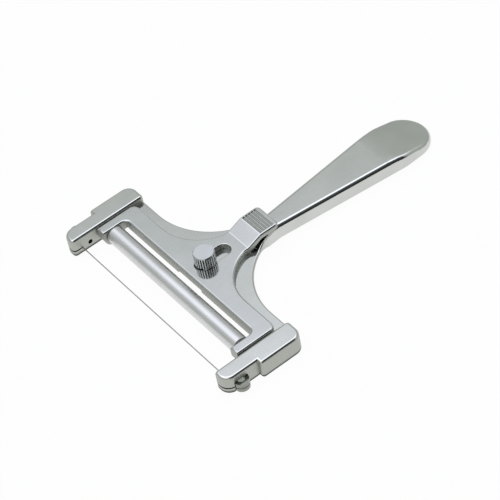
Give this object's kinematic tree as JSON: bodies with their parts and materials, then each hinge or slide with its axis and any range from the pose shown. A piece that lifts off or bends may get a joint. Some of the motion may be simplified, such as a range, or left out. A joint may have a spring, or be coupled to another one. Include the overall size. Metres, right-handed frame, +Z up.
{
  "type": "adjustable wire cheese slicer",
  "caption": "Hand-held wire cheese slicer with a handle, a roller on a sliding plate, a thumb screw and a taut cutting wire.",
  "frame": {"origin": "on the surface that the slicer lies on, under the middle of its length and width", "axes": "+X along the wire, +Y from the wire to the handle's end, +Z up from the underside to the thumb screw"},
  "size_m": [0.1206, 0.1528, 0.0155],
  "materials": {
    "plated_casting": "polished",
    "polished_tube": "polished",
    "plated_knob": "polished",
    "plated_ring": "polished",
    "steel": "turned",
    "wire_steel": "drawn",
    "bush": "moulded"
  },
  "bodies": {
    "frame": {"frame_casting": "plated_casting", "cutting_wire": "wire_steel", "wire_end_ring_left": "plated_ring", "wire_end_ring_right": "plated_ring"},
    "adjuster": {"adjuster_plate": "plated_casting", "roller_axle": "steel"},
    "roller": {"roller_tube": "polished_tube", "roller_bush_left": "bush", "roller_bush_right": "bush"},
    "washer": {"thumb_screw_washer": "steel"},
    "thumb_screw": {"thumb_screw_knob": "plated_knob", "thumb_screw_stud": "steel"}
  },
  "joints": [
    {"name": "adjuster_slide", "type": "slide", "parent": "frame", "child": "adjuster", "axis": [0, -1, 0], "range_m": [0, 0.0075]},
    {"name": "roller_spin", "type": "hinge", "parent": "adjuster", "child": "roller", "pos_m": [0, -0.05845, 0.0056], "axis": [1, 0, 0], "continuous": true},
    {"name": "thumb_screw_turn", "type": "hinge", "parent": "frame", "child": "washer", "pos_m": [0, -0.04245, 0.00945], "axis": [0, 0, 1], "range_deg": [0, 360]},
    {"name": "thumb_screw_rise", "type": "slide", "parent": "washer", "child": "thumb_screw", "axis": [0, 0, 1], "range_m": [0, 0.0007]}
  ],
  "couplings": [
    {"joint": "thumb_screw_turn", "follows": "thumb_screw_rise", "rad_per_m": 8976}
  ]
}
